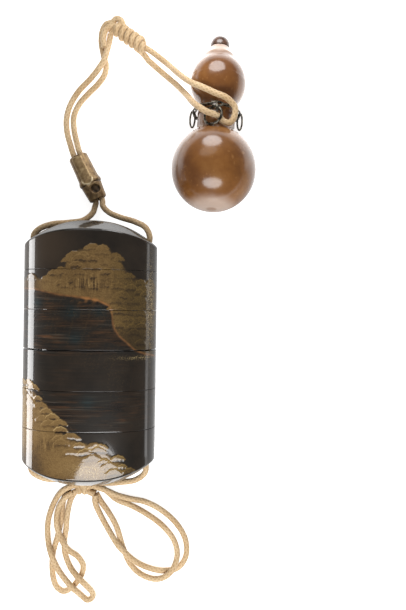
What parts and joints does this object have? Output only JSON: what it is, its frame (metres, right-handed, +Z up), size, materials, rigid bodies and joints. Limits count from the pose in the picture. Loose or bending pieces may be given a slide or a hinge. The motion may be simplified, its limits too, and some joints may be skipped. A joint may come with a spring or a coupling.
{
  "type": "inro",
  "caption": "Tiered lacquered inro case with domed ends, lying on its back with its tied silk cord, a sliding bead and a gourd toggle.",
  "frame": {"origin": "under the middle of the case, on the surface it lies on", "axes": "+X across the case, +Y along it towards the lid, +Z up through its thickness"},
  "size_m": [0.0809, 0.2166, 0.0296],
  "materials": {
    "lacquer": "gloss black-brown lacquer with gold maki-e",
    "silk": "braided silk cord, matt",
    "antique_brass": "antique satin, chased",
    "gourd_skin": "varnished gloss gourd skin",
    "dark_wood": "polished dark wood",
    "dark_iron": "dark patinated wire"
  },
  "bodies": {
    "root": {"lid": "lacquer", "case_1": "lacquer", "case_2": "lacquer", "case_3": "lacquer", "case_4": "lacquer", "bottom_case": "lacquer", "cord_left": "silk", "cord_right": "silk", "cord_toggle_loop": "silk", "cord_bow_left_long": "silk", "cord_bow_left_short": "silk", "cord_bow_right_long": "silk", "cord_bow_right_short": "silk", "bow_knot": "silk", "toggle_knot": "silk", "bead": "antique_brass", "gourd": "gourd_skin", "stopper": "dark_wood", "waist_chain": "dark_iron", "cord_ring": "dark_iron"}
  },
  "joints": []
}
